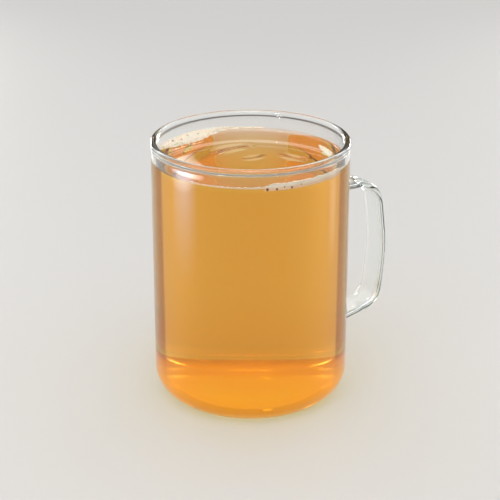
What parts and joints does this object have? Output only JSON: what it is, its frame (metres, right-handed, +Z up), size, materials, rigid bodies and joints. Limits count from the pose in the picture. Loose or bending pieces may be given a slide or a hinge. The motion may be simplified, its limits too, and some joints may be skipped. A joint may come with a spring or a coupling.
{
  "type": "glass cup of tea",
  "caption": "Clear straight-sided glass cup with a flat strap handle, filled with amber tea that has foam at its edge.",
  "frame": {"origin": "centre of the cup's flat underside, where it stands on a table", "axes": "+Z up along the cup's axis, +X from the axis towards the handle"},
  "size_m": [0.1091, 0.0844, 0.115],
  "materials": {
    "clear_glass": "clear, smooth, fire-polished",
    "amber_tea": "clear amber liquid with a glossy surface",
    "foam": "fine pale bubbles"
  },
  "bodies": {
    "root": {"glass_cup": "clear_glass", "tea": "amber_tea"}
  },
  "joints": []
}
